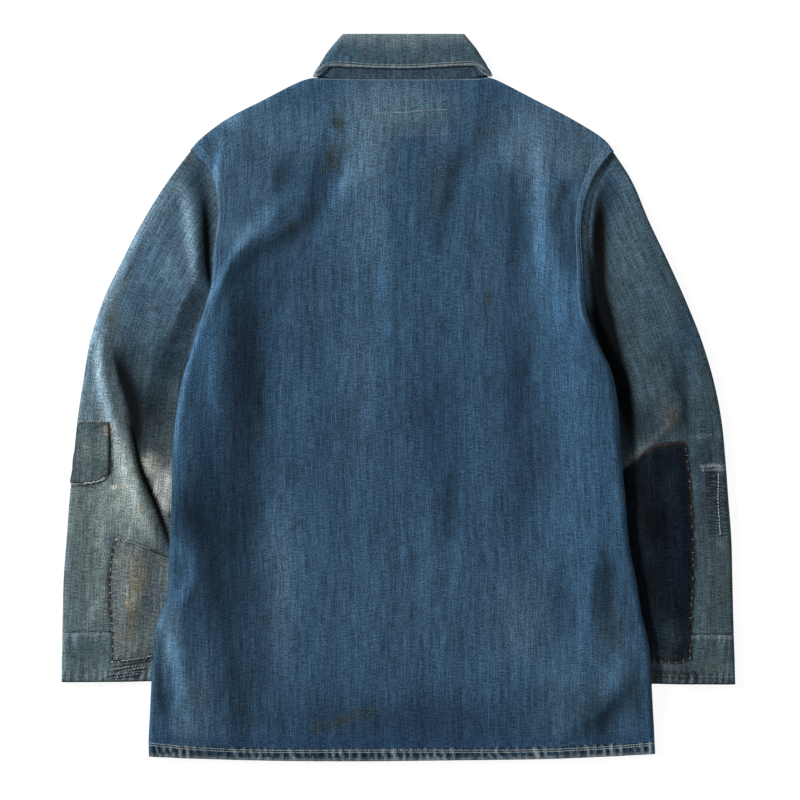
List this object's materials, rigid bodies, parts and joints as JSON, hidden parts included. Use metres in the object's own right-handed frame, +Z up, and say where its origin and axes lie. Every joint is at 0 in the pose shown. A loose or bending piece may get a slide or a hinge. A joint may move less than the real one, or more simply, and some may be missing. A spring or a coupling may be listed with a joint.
{
  "type": "patched denim work jacket",
  "caption": "Faded denim work jacket with patched and darned sleeves, laid face down with its back up and its sleeves beside it.",
  "frame": {"origin": "on the surface it lies on, under the middle of the garment", "axes": "+Z up out of the back, +Y from hem to collar, +X to the right when looking down on the back"},
  "size_m": [0.7425, 0.8007, 0.0251],
  "materials": {
    "body_denim": "faded indigo twill, soft and matt",
    "sleeve_denim": "sun-faded indigo twill, greyer towards the cuffs",
    "cuff_denim": "worn and roped grey-blue denim",
    "collar_denim": "worn grey-blue denim with pale edges",
    "patch_denim": "grey worn denim with frayed edges",
    "dark_patch_denim": "near-black indigo denim, little worn",
    "button_metal": "dull plain brass"
  },
  "bodies": {
    "root": {"back": "body_denim", "front_left": "body_denim", "front_right": "body_denim", "sleeve_left": "sleeve_denim", "cuff_left": "cuff_denim", "sleeve_right": "sleeve_denim", "cuff_right": "cuff_denim", "patch_left_elbow": "patch_denim", "patch_left_forearm": "patch_denim", "patch_right_forearm": "dark_patch_denim", "collar_leaf": "collar_denim", "collar_stand": "collar_denim", "button_1": "button_metal", "button_2": "button_metal", "button_3": "button_metal", "button_4": "button_metal", "button_5": "button_metal"}
  },
  "joints": []
}
